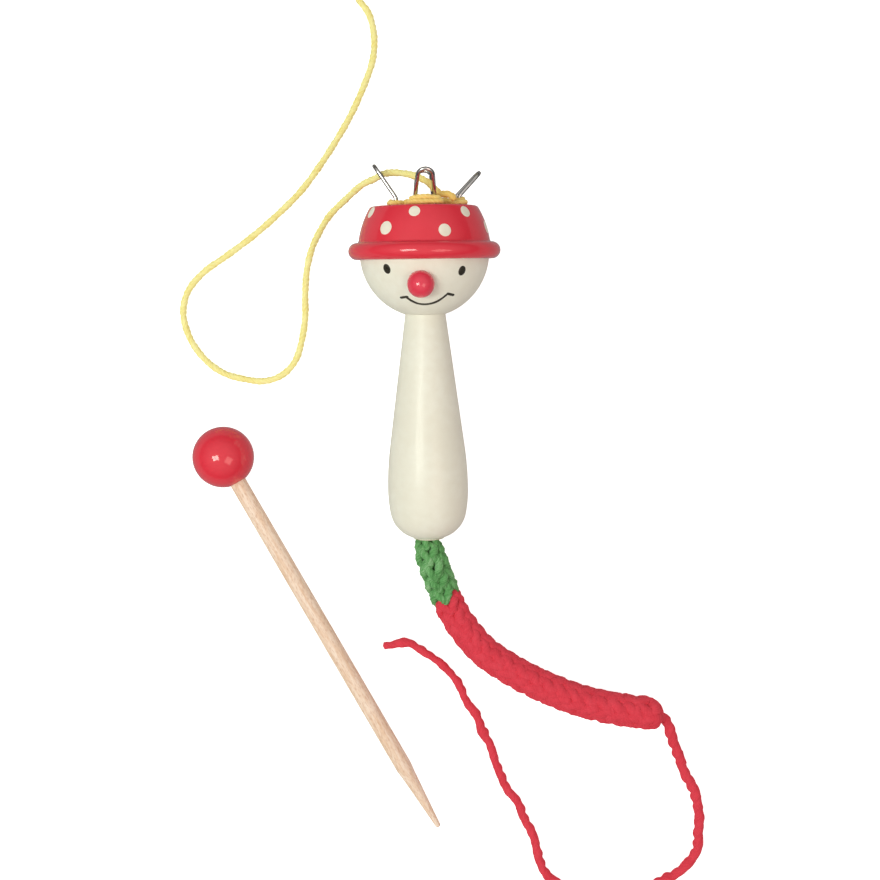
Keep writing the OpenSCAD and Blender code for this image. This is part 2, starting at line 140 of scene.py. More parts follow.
# %% Paper sheet on the table
paper, tree, output = new_material("white paper sheet")
ray = add_node(tree, "ShaderNodeLightPath").outputs
shine = add_node(tree, "ShaderNodeMapRange", {"Value": ray["Is Camera Ray"], "To Min": 0.15, "To Max": 0.85})
sheet_light = add_node(tree, "ShaderNodeEmission", {"Color": linear("#ffffff"), "Strength": shine.outputs[0]})
sheet_paper = add_node(tree, "ShaderNodeBsdfDiffuse", {"Color": linear("#e2e2e2")})
both = add_node(tree, "ShaderNodeAddShader", {0: sheet_light.outputs[0], 1: sheet_paper.outputs[0]})
dim = add_node(tree, "ShaderNodeEmission", {"Color": linear("#ffffff"), "Strength": 0.33})
sheet = add_node(tree, "ShaderNodeMixShader", {
    0: ray["Is Glossy Ray"], 1: both.outputs[0], 2: dim.outputs[0]})
tree.links.new(sheet.outputs[0], output.inputs["Surface"])

FLOOR_HALF = 2.5
floor_mesh = bpy.data.meshes.new("table_top")
corners = [(x * FLOOR_HALF, y * FLOOR_HALF, 0) for x, y in ((-1, -1), (1, -1), (1, 1), (-1, 1))]
floor_mesh.from_pydata(corners, [], [(0, 1, 2, 3)])
floor_mesh.materials.append(paper)
floor = bpy.data.objects.new("table_top", floor_mesh)
scene.collection.objects.link(floor)
print(f"paper sheet {2 * FLOOR_HALF:.0f} m wide")

# %% Lamps
LAMP_AIM = np.array([0.03, 0.04, 0.02])
LAMP_FAR = 0.9


def add_lamp(name, towards, size, power, colour):
    """A flat lamp with two sides in metres that faces LAMP_AIM from a direction, LAMP_FAR metres away."""
    lamp = bpy.data.objects.new(name, bpy.data.lights.new(name, "AREA"))
    lamp.data.shape = "RECTANGLE"
    lamp.data.size, lamp.data.size_y = size
    lamp.data.energy = power
    lamp.data.color = linear(colour)[:3]
    way = np.array(towards) / np.linalg.norm(towards)
    lamp.location = way * LAMP_FAR + LAMP_AIM
    tip = np.arccos(way[2])
    spin = np.arctan2(way[1], way[0])
    lamp.rotation_euler = (0, tip, spin)
    scene.collection.objects.link(lamp)
    return lamp


add_lamp("left_lamp", (-0.39, -0.09, 0.91), (0.36, 0.26), 3.5, "#f8fff4")
add_lamp("right_lamp", (0.42, -0.26, 0.87), (0.4, 0.4), 1.55, "#ffd8ca")
window_lamp = add_lamp("window_lamp", (-0.64, -0.08, 0.76), (0.3, 0.3), 1.15, "#fbfff8")
window_lamp.visible_glossy = False
print("three lamps, one of them for the window")

# %% [markdown]
# ## From a formula to a mesh
# Every piece below is a grid of points: a profile carried round an axis, or a ring carried along a path.
# A grid of rows and columns turns into four-sided faces by index arithmetic alone. Where a row shrinks
# to a point, as at the end of a thread, its points are merged so that the surface closes.
# A pattern such as wood grain has to follow the piece, so each point also carries its own coordinates, in
# millimetres.

# %% Mesh helpers
WELD = 0.002


def unit(v):
    """Vectors divided by their lengths."""
    return v / np.linalg.norm(v, axis=-1, keepdims=True)


def quads_of(rows, columns, closed):
    """Corner numbers of the faces of a grid; closed says if rows and columns join up end to end."""
    i = np.arange(rows if closed[0] else rows - 1)[:, None]
    j = np.arange(columns if closed[1] else columns - 1)[None, :]
    i2, j2 = (i + 1) % rows, (j + 1) % columns
    corners = [i * columns + j, i * columns + j2, i2 * columns + j2, i2 * columns + j]
    return np.stack(corners, -1).reshape(-1, 4)


def outwards(points, quads):
    """The quads, turned round if the volume they enclose, a sum of triple products, is negative."""
    a, b, c, d = (points[quads[:, k]] for k in range(4))
    volume = np.sum(a * np.cross(b, c)) + np.sum(a * np.cross(c, d))
    return quads if volume >= 0 else quads[:, ::-1]


def add_piece(name, grids, finishes, body, closed=(False, True), own=None, crease=40):
    """One object from grids of points (rows, columns, 3) in millimetres, one finish for each or for all.
    own holds each point's own coordinates. Points closer than WELD mm are merged, and edges sharper than
    crease degrees stay sharp."""
    points, faces, which, start = [], [], [], 0
    for k, grid in enumerate(grids):
        flat = grid.reshape(-1, 3)
        quads = outwards(flat - flat.mean(0), quads_of(*grid.shape[:2], closed))
        points.append(flat)
        faces.append(quads + start)
        which.append(np.full(len(quads), k % len(finishes)))
        start += len(flat)
    points, faces = np.vstack(points), np.vstack(faces)
    mesh = bpy.data.meshes.new(name)
    mesh.vertices.add(len(points))
    mesh.vertices.foreach_set("co", (points * MM).ravel())
    mesh.loops.add(faces.size)
    mesh.loops.foreach_set("vertex_index", faces.ravel().astype(np.int32))
    mesh.polygons.add(len(faces))
    mesh.polygons.foreach_set("loop_start", np.arange(0, faces.size, 4, dtype=np.int32))
    mesh.update(calc_edges=True)
    for finish in finishes:
        mesh.materials.append(finish)
    mesh.polygons.foreach_set("material_index", np.concatenate(which).astype(np.int32))
    if own is not None:
        values = np.vstack([grid.reshape(-1, 3) for grid in own])
        mesh.attributes.new("own", "FLOAT_VECTOR", "POINT").data.foreach_set("vector", values.ravel())
    shell = bmesh.new()
    shell.from_mesh(mesh)
    bmesh.ops.remove_doubles(shell, verts=shell.verts, dist=WELD * MM)
    shell.to_mesh(mesh)
    shell.free()
    mesh.polygons.foreach_set("use_smooth", np.ones(len(mesh.polygons), dtype=bool))
    mesh.set_sharp_from_angle(angle=np.radians(crease))
    piece = bpy.data.objects.new(name, mesh)
    scene.collection.objects.link(piece)
    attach(piece, body)
    print(f"{name}: {len(mesh.polygons)} faces")
    return piece


# %% [markdown]
# ## Enamel on turned wood
# The doll's wood is dipped or sprayed with a glossy enamel: ivory on the head and handle, red on the hat
# and needle bead, crimson on the nose. Enamel has a smooth skin over faint lathe rings, pools a little, and
# never has quite the same gloss all over. The rings follow the piece's own axis, so they read its own
# coordinates; the rest is noise in Object coordinates, with scales worked out from millimetres. The reds
# shine by a clear skin alone, so the colour below it is nearly without shine.

# %% Enamel
LATHE_RING = 1.1


def per_mm(size):
    """Texture scale, for Object coordinates in metres, of a pattern that repeats about every size mm."""
    return 1 / (size * MM)


def enamel(name, colour, shade, roughness, coat, body_shine=0.5):
    """Glossy paint between two close colours, with orange peel, lathe rings and uneven gloss. coat is its
    clear skin and body_shine the shine of the colour below that."""
    material, tree, output = new_material(name)
    place = add_node(tree, "ShaderNodeTexCoord").outputs["Object"]
    own = add_node(tree, "ShaderNodeAttribute", attribute_name="own").outputs["Vector"]
    pools = add_node(tree, "ShaderNodeTexNoise", {"Vector": place, "Scale": per_mm(14), "Detail": 3})
    mottle = add_node(tree, "ShaderNodeTexNoise", {"Vector": place, "Scale": per_mm(2.5), "Detail": 2})
    blend = add_node(tree, "ShaderNodeMath", {0: pools.outputs["Fac"], 1: mottle.outputs["Fac"]},
                     operation="MULTIPLY")
    tint = add_node(tree, "ShaderNodeValToRGB", {"Fac": blend.outputs[0]})
    tint.color_ramp.elements[0].position = 0.1
    tint.color_ramp.elements[0].color = linear(shade)
    tint.color_ramp.elements[1].position = 0.42
    tint.color_ramp.elements[1].color = linear(colour)
    gloss = add_node(tree, "ShaderNodeMapRange", {
        "Value": mottle.outputs["Fac"], "From Min": 0.3, "From Max": 0.7,
        "To Min": roughness * 0.85, "To Max": roughness * 1.2})
    rings = add_node(tree, "ShaderNodeMapping", {"Vector": own, "Scale": (0, 0, 1 / LATHE_RING)})
    lathe = add_node(tree, "ShaderNodeTexNoise", {"Vector": rings.outputs[0], "Scale": 1, "Detail": 2})
    peel = add_node(tree, "ShaderNodeTexNoise", {"Vector": place, "Scale": per_mm(1.4), "Detail": 1})
    low = add_node(tree, "ShaderNodeBump", {
        "Height": lathe.outputs["Fac"], "Strength": 0.05, "Distance": 0.4 * MM})
    skin = add_node(tree, "ShaderNodeBump", {
        "Height": peel.outputs["Fac"], "Strength": 0.02, "Distance": 0.3 * MM, "Normal": low.outputs[0]})
    paint = add_node(tree, "ShaderNodeBsdfPrincipled", {
        "Base Color": tint.outputs["Color"], "Roughness": gloss.outputs[0], "Normal": skin.outputs[0],
        "IOR": 1.45, "Specular IOR Level": body_shine, "Coat Weight": coat, "Coat Roughness": 0.07})
    tree.links.new(paint.outputs[0], output.inputs["Surface"])
    return material


ivory_enamel = enamel("ivory enamel on beech", "#e6e5d8", "#e1decf", 0.42, 0.1)
red_enamel = enamel("red enamel on beech", "#db3343", "#d73040", 0.45, 1.0, body_shine=0.1)
nose_enamel = enamel("crimson enamel on beech", "#dc3b51", "#d8384e", 0.45, 1.0, body_shine=0.1)
dot_enamel = enamel("white enamel dots", "#ece6d8", "#e0dac8", 0.4, 0.1)
black_enamel = enamel("black enamel lines", "#37342a", "#26241d", 0.3, 0.3)
print("five enamels")

# %% [markdown]
# ## The doll's sizes and how it lies
# The doll is turned about its own axis: height 0 is the round end of the handle, the face looks to -Y.
# It lies on two round places, the belly and the brim of the hat, so its tilt is the slope of the line
# that touches both circles from below.

# %% Sizes of the doll
handle_l, neck_r, belly_r, belly_h = 67.6, 6, 12.1, 14.9
belly_upper_r, belly_lower_r, end_r, tenon_r, tenon_l = 100, 40, 9.3, 5.2, 7
head_r, head_l, spigot_r, spigot_l = 19.1, 16.1, 8, 6
hat_h, brim_r, brim_edge_r, crown_base_r, crown_top_r = 15.4, 22.4, 2.5, 19.4, 15.7
crown_side_r, crown_edge_r, mouth_edge_r, bore_r, glue_gap = 26, 1.3, 1.5, 4, 0.1

ball_h = handle_l + np.sqrt(head_r ** 2 - neck_r ** 2)
seat_h = handle_l + head_l
hat_top = seat_h + hat_h
crease_h = seat_h + 2 * brim_edge_r
lower_c = np.array([belly_r - belly_lower_r, belly_h])
upper_c = np.array([belly_r - belly_upper_r, belly_h])
brim_c = np.array([brim_r - brim_edge_r, seat_h + brim_edge_r])
across_belly = brim_c - lower_c
reach = np.hypot(*across_belly)
tilt = np.arctan2(*across_belly) - np.arcsin((belly_lower_r - brim_edge_r) / reach)
rest_h = lower_c[0] * np.cos(tilt) - lower_c[1] * np.sin(tilt) + belly_lower_r


def turn_x(angle):
    """Rotation matrix about X, angle in radians."""
    c, s = np.cos(angle), np.sin(angle)
    return np.array([[1, 0, 0], [0, c, -s], [0, s, c]])


def turn_z(angle):
    """Rotation matrix about Z, angle in radians."""
    c, s = np.cos(angle), np.sin(angle)
    return np.array([[c, -s, 0], [s, c, 0], [0, 0, 1]])


DOLL_PLACE = np.array([25.1, -11, rest_h])
DOLL_TURN = turn_z(np.radians(0.8)) @ turn_x(tilt - np.pi / 2)


def lay_doll(points):
    """Points of the standing doll, turned and moved to where it lies on the table."""
    return points @ DOLL_TURN.T + DOLL_PLACE


print(f"the doll lies tilted by {np.degrees(tilt):.1f} degrees, its axis {rest_h:.1f} mm up at the handle")

# %% [markdown]
# ## Turned pieces
# A lathe makes a solid of revolution, and so does a profile carried round an axis: each point (r, h)
# becomes the ring (r cos a, r sin a, h). The profiles are arcs and lines, as a turner's template is,
# and they run on through the bore so that every piece is a closed shell.

# %% Profiles and revolving
def arc(centre, radius, start, end, count=24):
    """Points (r, h) of a circle's arc between two angles in degrees."""
    a = np.radians(np.linspace(start, end, count))
    return np.stack([centre[0] + radius * np.cos(a), centre[1] + radius * np.sin(a)], 1)


def angle_to(centre, point):
    """Angle in degrees of the line from a centre to a point."""
    return np.degrees(np.arctan2(point[1] - centre[1], point[0] - centre[0]))


def line(a, b, count=12):
    """Points on the straight line from a to b."""
    return np.linspace(a, b, count)


def revolve(profile, sides=160):
    """Rings of a profile of (r, h) points carried round the axis: (r cos a, r sin a, h)."""
    a = np.linspace(0, 2 * np.pi, sides, endpoint=False)
    r, h = profile[:, :1], profile[:, 1:]
    return np.stack([r * np.cos(a), r * np.sin(a), h + 0 * a], -1)


# %% [markdown]
# ### Handle and head
# The handle swells to a belly and closes in a round end, with a soft lip where the cord comes out. Its
# tenon goes up into the head, a ball cut flat below the hat, with a spigot that carries the hat.

# %% Handle and head
end_drop = belly_h - end_r
end_c = np.array([lower_c[0] + np.sqrt((belly_lower_r - end_r) ** 2 - end_drop ** 2), end_r])
end_join = lower_c + belly_lower_r / (belly_lower_r - end_r) * (end_c - lower_c)
neck = np.array([neck_r, handle_l])
to_neck = neck - upper_c
neck_angle = angle_to(upper_c, neck) - np.degrees(np.arccos(belly_upper_r / np.hypot(*to_neck)))
neck_bend = np.radians(neck_angle)
neck_join = upper_c + belly_upper_r * np.array([np.cos(neck_bend), np.sin(neck_bend)])
lip_r = 0.7

handle_profile = np.vstack([
    arc((bore_r + lip_r, lip_r), lip_r, 180, 270, 8),
    arc(end_c, end_r, -90, angle_to(end_c, end_join), 36),
    arc(lower_c, belly_lower_r, angle_to(lower_c, end_join), 0, 24),
    arc(upper_c, belly_upper_r, 0, neck_angle, 40),
    line(neck_join, neck, 24),
    [[tenon_r, handle_l], [tenon_r, handle_l + tenon_l], [bore_r, handle_l + tenon_l]],
])
handle = revolve(handle_profile)
turned_handle = add_piece("turned_handle", [lay_doll(handle)], [ivory_enamel], "doll",
                          closed=(True, True), own=[handle])
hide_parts("handle")

socket_r = tenon_r + glue_gap
seat_angle = -np.degrees(np.arcsin((ball_h - seat_h) / head_r))
head_profile = np.vstack([
    [[socket_r, handle_l]],
    arc((0, ball_h), head_r, angle_to((0, ball_h), neck), seat_angle, 64),
    [[spigot_r, seat_h], [spigot_r, seat_h + spigot_l], [bore_r, seat_h + spigot_l],
     [bore_r, handle_l + tenon_l + glue_gap], [socket_r, handle_l + tenon_l + glue_gap]],
])
head = revolve(head_profile)
turned_head = add_piece("turned_head", [lay_doll(head)], [ivory_enamel], "doll",
                        closed=(True, True), own=[head])
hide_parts("head")

# %% [markdown]
# ### Hat
# The hat is one turning: a round brim like a ring, a crown that bulges and draws in towards the top,
# a softened top edge and a rounded mouth for the yarn. Paint fills the crease above the brim a little.

# %% Hat
crown_foot = np.array([crown_base_r, crease_h])
crown_head = np.array([crown_top_r, hat_top])
chord = crown_head - crown_foot
off_chord = np.sqrt(crown_side_r ** 2 - chord @ chord / 4)
crown_c = (crown_foot + crown_head) / 2 + off_chord * np.array([-chord[1], chord[0]]) / np.hypot(*chord)
edge_reach = crown_side_r - crown_edge_r
edge_h = hat_top - crown_edge_r
edge_c = np.array([crown_c[0] + np.sqrt(edge_reach ** 2 - (edge_h - crown_c[1]) ** 2), edge_h])
fill_r, top_inset, mouth_inset = 0.5, 0.6, 0.3
crown_start = angle_to(crown_c, (crown_base_r, crease_h + fill_r))
crown_stop = angle_to(crown_c, edge_c)

hat_profile = np.vstack([
    line((spigot_r + glue_gap, seat_h), (brim_c[0], seat_h), 12),
    arc(brim_c, brim_edge_r, -90, 80, 36),
    arc((crown_base_r + fill_r, crease_h + fill_r), fill_r, 262, 182, 7),
    arc(crown_c, crown_side_r, crown_start, crown_stop, 40),
    arc(edge_c, crown_edge_r, crown_stop + 4, 90, 12),
    line((edge_c[0] - top_inset, hat_top), (bore_r + mouth_edge_r + mouth_inset, hat_top), 12),
    arc((bore_r + mouth_edge_r, hat_top - mouth_edge_r), mouth_edge_r, 90, 180, 10),
    [[bore_r, seat_h + spigot_l + glue_gap], [spigot_r + glue_gap, seat_h + spigot_l + glue_gap]],
])
hat = revolve(hat_profile, 192)
turned_hat = add_piece("turned_hat", [lay_doll(hat)], [red_enamel], "doll",
                       closed=(True, True), own=[hat])
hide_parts("hat")

# %% [markdown]
# ### Nose
# The nose is a half ball on a peg, glued to the front of the head. Its axis leaves the middle of the ball
# that the head is turned from, a little to one side and well below the middle.

# %% Nose
nose_r, nose_stand, nose_sunk, nose_drop, nose_turn, peg_r, peg_l = 3.9, 1.4, 0.5, 26, -3, 1.5, 6
nose_foot = head_r - nose_sunk
nose_start = -np.degrees(np.arcsin((head_r + nose_stand - nose_foot) / nose_r))
nose_profile = np.vstack([
    [[0, head_r - peg_l], [peg_r, head_r - peg_l], [peg_r, nose_foot]],
    arc((0, head_r + nose_stand), nose_r, nose_start, 90, 40),
])
NOSE_WAY = turn_z(np.radians(nose_turn)) @ turn_x(np.radians(90 + nose_drop))
nose = revolve(nose_profile, 96)
nose_placed = lay_doll(nose @ NOSE_WAY.T + [0, 0, ball_h])
nose_bead = add_piece("nose_bead", [nose_placed], [nose_enamel], "doll", own=[nose])
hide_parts("nose")

# %% [markdown]
# ## Painted dots, eyes and mouth
# The dots were stamped on the hat and the face drawn with a brush, so each is a thin skin of paint that
# follows the wood. A patch is a disc whose points are carried onto the surface and lifted a little in the
# middle; it dips under the surface at its rim, as wet paint wets the wood.

# %% Paint patches on the ball and the crown
def on_ball(azimuth, drop, rise=0.0):
    """Point on the head's ball, rise mm above it: azimuth goes from the face to the doll's left and drop down
    from the middle, in degrees."""
    a, d = np.radians(azimuth), np.radians(drop)
    r = head_r + rise
    return np.stack([r * np.sin(a) * np.cos(d), -r * np.cos(a) * np.cos(d), ball_h - r * np.sin(d)], -1)


def on_crown(azimuth, lift, rise=0.0):
    """Point on the hat's crown: azimuth as on the ball, lift the angle on the crown's side curve."""
    a, b = np.radians(azimuth), np.radians(lift)
    r = crown_c[0] + (crown_side_r + rise) * np.cos(b)
    return np.stack([r * np.sin(a), -r * np.cos(a), crown_c[1] + (crown_side_r + rise) * np.sin(b)], -1)


def paint_disc(surface, azimuth, up, half_wide, half_high, lean, per_degree, thick=0.07, sunk=0.05):
    """A lens of paint: rings of an oval, out over the top and back sunk underneath, carried onto a surface.
    per_degree is how many mm a degree is across and up; lean turns the oval clockwise."""
    over, under = np.linspace(0, 1, 9), np.linspace(1, 0, 3)
    out = np.concatenate([over, under])[:, None]
    rise = np.concatenate([thick * (1 - over ** 6), np.full(len(under), -sunk)])[:, None]
    a = np.linspace(0, 2 * np.pi, 32, endpoint=False)
    x, y = half_wide * out * np.cos(a), half_high * out * np.sin(a)
    c, s = np.cos(np.radians(lean)), np.sin(np.radians(lean))
    across, high = x * c + y * s, y * c - x * s
    return surface(azimuth + across / per_degree[0], up + high / per_degree[1], rise + 0 * x)


# %% Dots on the hat
# Azimuth in degrees, height above the hat's seat and half width in millimetres.
DOTS = [(-64.6, 13.6, 1.76), (-8.4, 13.4, 1.6), (45, 13.3, 1.7), (96, 13.2, 1.6), (147, 13.3, 1.7),
        (198, 13.4, 1.6), (248, 13.4, 1.7), (-35, 8.9, 1.95), (18.6, 8, 1.82), (78, 9.1, 1.9),
        (133, 8.5, 1.8), (190, 8.8, 1.9), (258, 8.4, 1.8)]
dots = []
for azimuth, height, half in DOTS:
    lift = np.degrees(np.arcsin((seat_h + height - crown_c[1]) / crown_side_r))
    ring_r = crown_c[0] + crown_side_r * np.cos(np.radians(lift))
    degree = np.radians(1) * np.array([ring_r, crown_side_r])
    dots.append(paint_disc(on_crown, azimuth, lift, half, half, 0, degree))
add_piece("hat_dots", [lay_doll(dot) for dot in dots], [dot_enamel], "doll", crease=60)

# %% Eyes
# Azimuth, drop and lean in degrees.
EYES = [(-34.8, 14.1, -12), (35.9, 16.6, 14)]
eye_half = (1.24, 1.44)


def eye_ball(azimuth, up, rise):
    """The ball's surface with the height counted upwards, for patches."""
    return on_ball(azimuth, -up, rise)


eyes = []
for azimuth, drop, lean in EYES:
    degree = np.radians(1) * head_r * np.array([np.cos(np.radians(drop)), 1])
    eyes.append(paint_disc(eye_ball, azimuth, -drop, *eye_half, lean, degree, thick=0.12))
add_piece("eye_spots", [lay_doll(eye) for eye in eyes], [black_enamel], "doll", crease=60)

# %% [markdown]
# ## Paths and tubes
# Wire, yarn and the mouth's brush line are all rings carried along a path. A Catmull-Rom curve passes
# through every point of a route, and np.interp spaces it evenly by length. The ring's axes come from the
# path's heading and one reference direction, so no loop over the points is needed.

# %% Path helpers
CURVE_STEPS = 12


def lengths_along(path):
    """Length from the start to each point."""
    return np.concatenate([[0], np.cumsum(np.linalg.norm(np.diff(path, axis=0), axis=1))])


def even(path, count):
    """count points at equal steps of length along a path."""
    s = lengths_along(path)
    return np.stack([np.interp(np.linspace(0, s[-1], count), s, path[:, k]) for k in range(3)], 1)


def smooth(route, closed=False):
    """Catmull-Rom curve through a route: a cubic between neighbours whose slopes are half their chords."""
    route = np.asarray(route, dtype=float)
    n = len(route)
    if closed:
        p = route[np.arange(-1, n + 2) % n]
    else:
        p = np.vstack([2 * route[0] - route[1], route, 2 * route[-1] - route[-2]])
    t = np.linspace(0, len(p) - 3, (len(p) - 3) * CURVE_STEPS + 1)
    i = np.minimum(t.astype(int), len(p) - 4)
    f = (t - i)[:, None]
    a, b, c, d = p[i], p[i + 1], p[i + 2], p[i + 3]
    return (b + f / 2 * (c - a) + f ** 2 * (a - 2.5 * b + 2 * c - d / 2)
            + f ** 3 * (1.5 * (b - c) + (d - a) / 2))


def sweep(path, radius, sides, reference, flat=1.0, joined=False):
    """Rings round a path: point + radius (cos a across + flat sin a up), with across square to the heading
    and the reference. joined says that the path's end goes on at its start."""
    if joined:
        heading = np.gradient(np.vstack([path[-1:], path, path[:1]]), axis=0)[1:-1]
    else:
        heading = np.gradient(path, axis=0)
    along = unit(heading)
    across = unit(np.cross(along, reference))
    up = np.cross(across, along)
    a = np.linspace(0, 2 * np.pi, sides, endpoint=False)
    ring = np.cos(a)[:, None] * across[:, None] + flat * np.sin(a)[:, None] * up[:, None]
    radius = np.broadcast_to(np.asarray(radius, dtype=float), (len(path),) + np.shape(radius)[1:])
    radius = radius[:, None, None] if radius.ndim == 1 else radius[..., None]
    return path[:, None] + radius * ring


def round_ends(path, radius, corner=None):
    """Radius along a path that closes at both ends: in a half circle, or flat with a smaller corner that is
    rounded."""
    s = lengths_along(path)
    near = np.clip(np.minimum(s, s[-1] - s) / (corner or np.max(radius)), 0, 1)
    closing = np.sqrt(1 - (1 - near) ** 2)
    flat_end = 1 - (corner / np.max(radius) if corner else 1)
    return radius * np.where(near > 0, flat_end + (1 - flat_end) * closing, 0)


# %% Mouth
# Azimuth and drop in degrees along three strokes.
MOUTH = [[(-21.9, 41.6), (-16.1, 46.5), (-7.8, 50.3), (4.4, 50.8), (16.2, 47.3), (25.8, 39.2)],
         [(-30.3, 42.7), (-24.4, 41.8), (-18.6, 41.2)],
         [(24.6, 38.2), (30.4, 39.4), (35.7, 40.6)]]
brush_half, brush_thick = 0.45, 0.1
strokes = []
for places in MOUTH:
    stroke = even(smooth(on_ball(*np.array(places).T)), 60)
    outward = stroke - [0, 0, ball_h]
    strokes.append(sweep(stroke, round_ends(stroke, brush_half), 12, outward, brush_thick / brush_half))
add_piece("mouth_line", [lay_doll(stroke) for stroke in strokes], [black_enamel], "doll",
          crease=60)

# %% [markdown]
# ## Steel wire staples
# Each staple is a piece of bright drawn wire: two legs pushed into the hat, a bend outwards and a
# half-round arch for the yarn to slip over. Drawing leaves fine lines along the wire, here 0.17 mm apart and
# 4 mm long, which gives a mirror that is a little streaked.

# %% Steel wire
steel_wire, tree, output = new_material("bright drawn steel wire")
own = add_node(tree, "ShaderNodeAttribute", attribute_name="own").outputs["Vector"]
drawn = add_node(tree, "ShaderNodeMapping", {"Vector": own, "Scale": (6, 6, 0.25)})
lines = add_node(tree, "ShaderNodeTexNoise", {"Vector": drawn.outputs[0], "Scale": 1, "Detail": 3})
tint = add_node(tree, "ShaderNodeValToRGB", {"Fac": lines.outputs["Fac"]})
tint.color_ramp.elements[0].position = 0.3
tint.color_ramp.elements[0].color = linear("#b4b1ae")
tint.color_ramp.elements[1].position = 0.7
tint.color_ramp.elements[1].color = linear("#e6e4e1")
gloss = add_node(tree, "ShaderNodeMapRange", {"Value": lines.outputs["Fac"], "To Min": 0.1, "To Max": 0.24})
# The near-black Specular Tint darkens the wire's mirror towards its edges: painted dark edge lines, a painted
# reflection of a dark room.
steel = add_node(tree, "ShaderNodeBsdfPrincipled", {
    "Base Color": tint.outputs["Color"], "Metallic": 1.0, "Specular Tint": linear("#1c1a19"),
    "Roughness": gloss.outputs[0]})
tree.links.new(steel.outputs[0], output.inputs["Surface"])
print("drawn steel wire")

# %% Staples
wire_r, leg_gap, arch_gap, leg_depth, stem_l, bend_r = 0.58, 5.4, 4.4, 6.5, 2, 1.8
# Turn round the axis in degrees, distance from it in mm, lean in degrees and the arm's length in mm.
STAPLES = {"staple_front": (-87, 9.5, 38, 6.2), "staple_right": (10, 10, 44, 6.6),
           "staple_back": (90, 9.5, 38, 8.3), "staple_left": (180, 8.1, 34, 8.3)}


def at_side(points, turn, distance):
    """Points with x outwards from the axis, y sideways and z above the hat, turned to one side of the hat."""
    return (points + [distance, 0, hat_top]) @ turn_z(np.radians(turn)).T


def staple_path(lean, arm_l):
    """Half a staple's wire and its mirror image: leg, bend of radius bend_r, leaning arm that draws in from
    leg_gap to arch_gap, half-round arch."""
    half, top = leg_gap / 2, arch_gap / 2
    a = np.radians(np.linspace(0, lean, 10))
    bend = np.stack([bend_r * (1 - np.cos(a)), np.full(10, -half), stem_l + bend_r * np.sin(a)], 1)
    way = np.array([np.sin(a[-1]), 0, np.cos(a[-1])])
    arm = bend[-1] + np.linspace(0, 1, 12)[1:, None] * (arm_l * way + [0, half - top, 0])
    b = np.radians(np.linspace(0, 90, 16))[1:, None]
    arch = bend[-1] * [1, 0, 1] + (arm_l + top * np.sin(b)) * way + np.array([0, -top, 0]) * np.cos(b)
    leg = np.linspace([0, -half, -leg_depth], [0, -half, stem_l], 16)[:-1]
    one = np.vstack([leg, bend, arm, arch])
    return np.vstack([one, one[-2::-1] * [1, -1, 1]])


WIRE_SIDES = 16
wire_angle = np.linspace(0, 2 * np.pi, WIRE_SIDES, endpoint=False)
for name, (turn, distance, lean, arm_l) in STAPLES.items():
    wire_path = even(staple_path(lean, arm_l), 180)
    wire = sweep(wire_path, round_ends(wire_path, wire_r), WIRE_SIDES, np.array([1.0, 0, 0]))
    wire_own = wire_r * np.cos(wire_angle), wire_r * np.sin(wire_angle), lengths_along(wire_path)[:, None]
    fibre = np.stack(np.broadcast_arrays(*wire_own), -1)
    placed = lay_doll(at_side(wire, turn, distance))
    staple = add_piece("wire_" + name, [placed], [steel_wire], "doll", own=[fibre])
    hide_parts(name)

# %% [markdown]
# ## Yarn
# Yarn is spun fibre: several plies twisted round each other, each a soft bundle of hairs. The section of
# a plied yarn is a ring of lobes that turns as it goes along, so the lobes run round it like the strands of
# a rope. Fibres follow the plies, so the material's streaks read coordinates that turn with them. The hairs
# that stand off catch the light at the edges, which is what sheen is for. A streak is about 0.45 mm wide and
# 3 mm long, and slow patches of 5 by 8 mm lie over them.

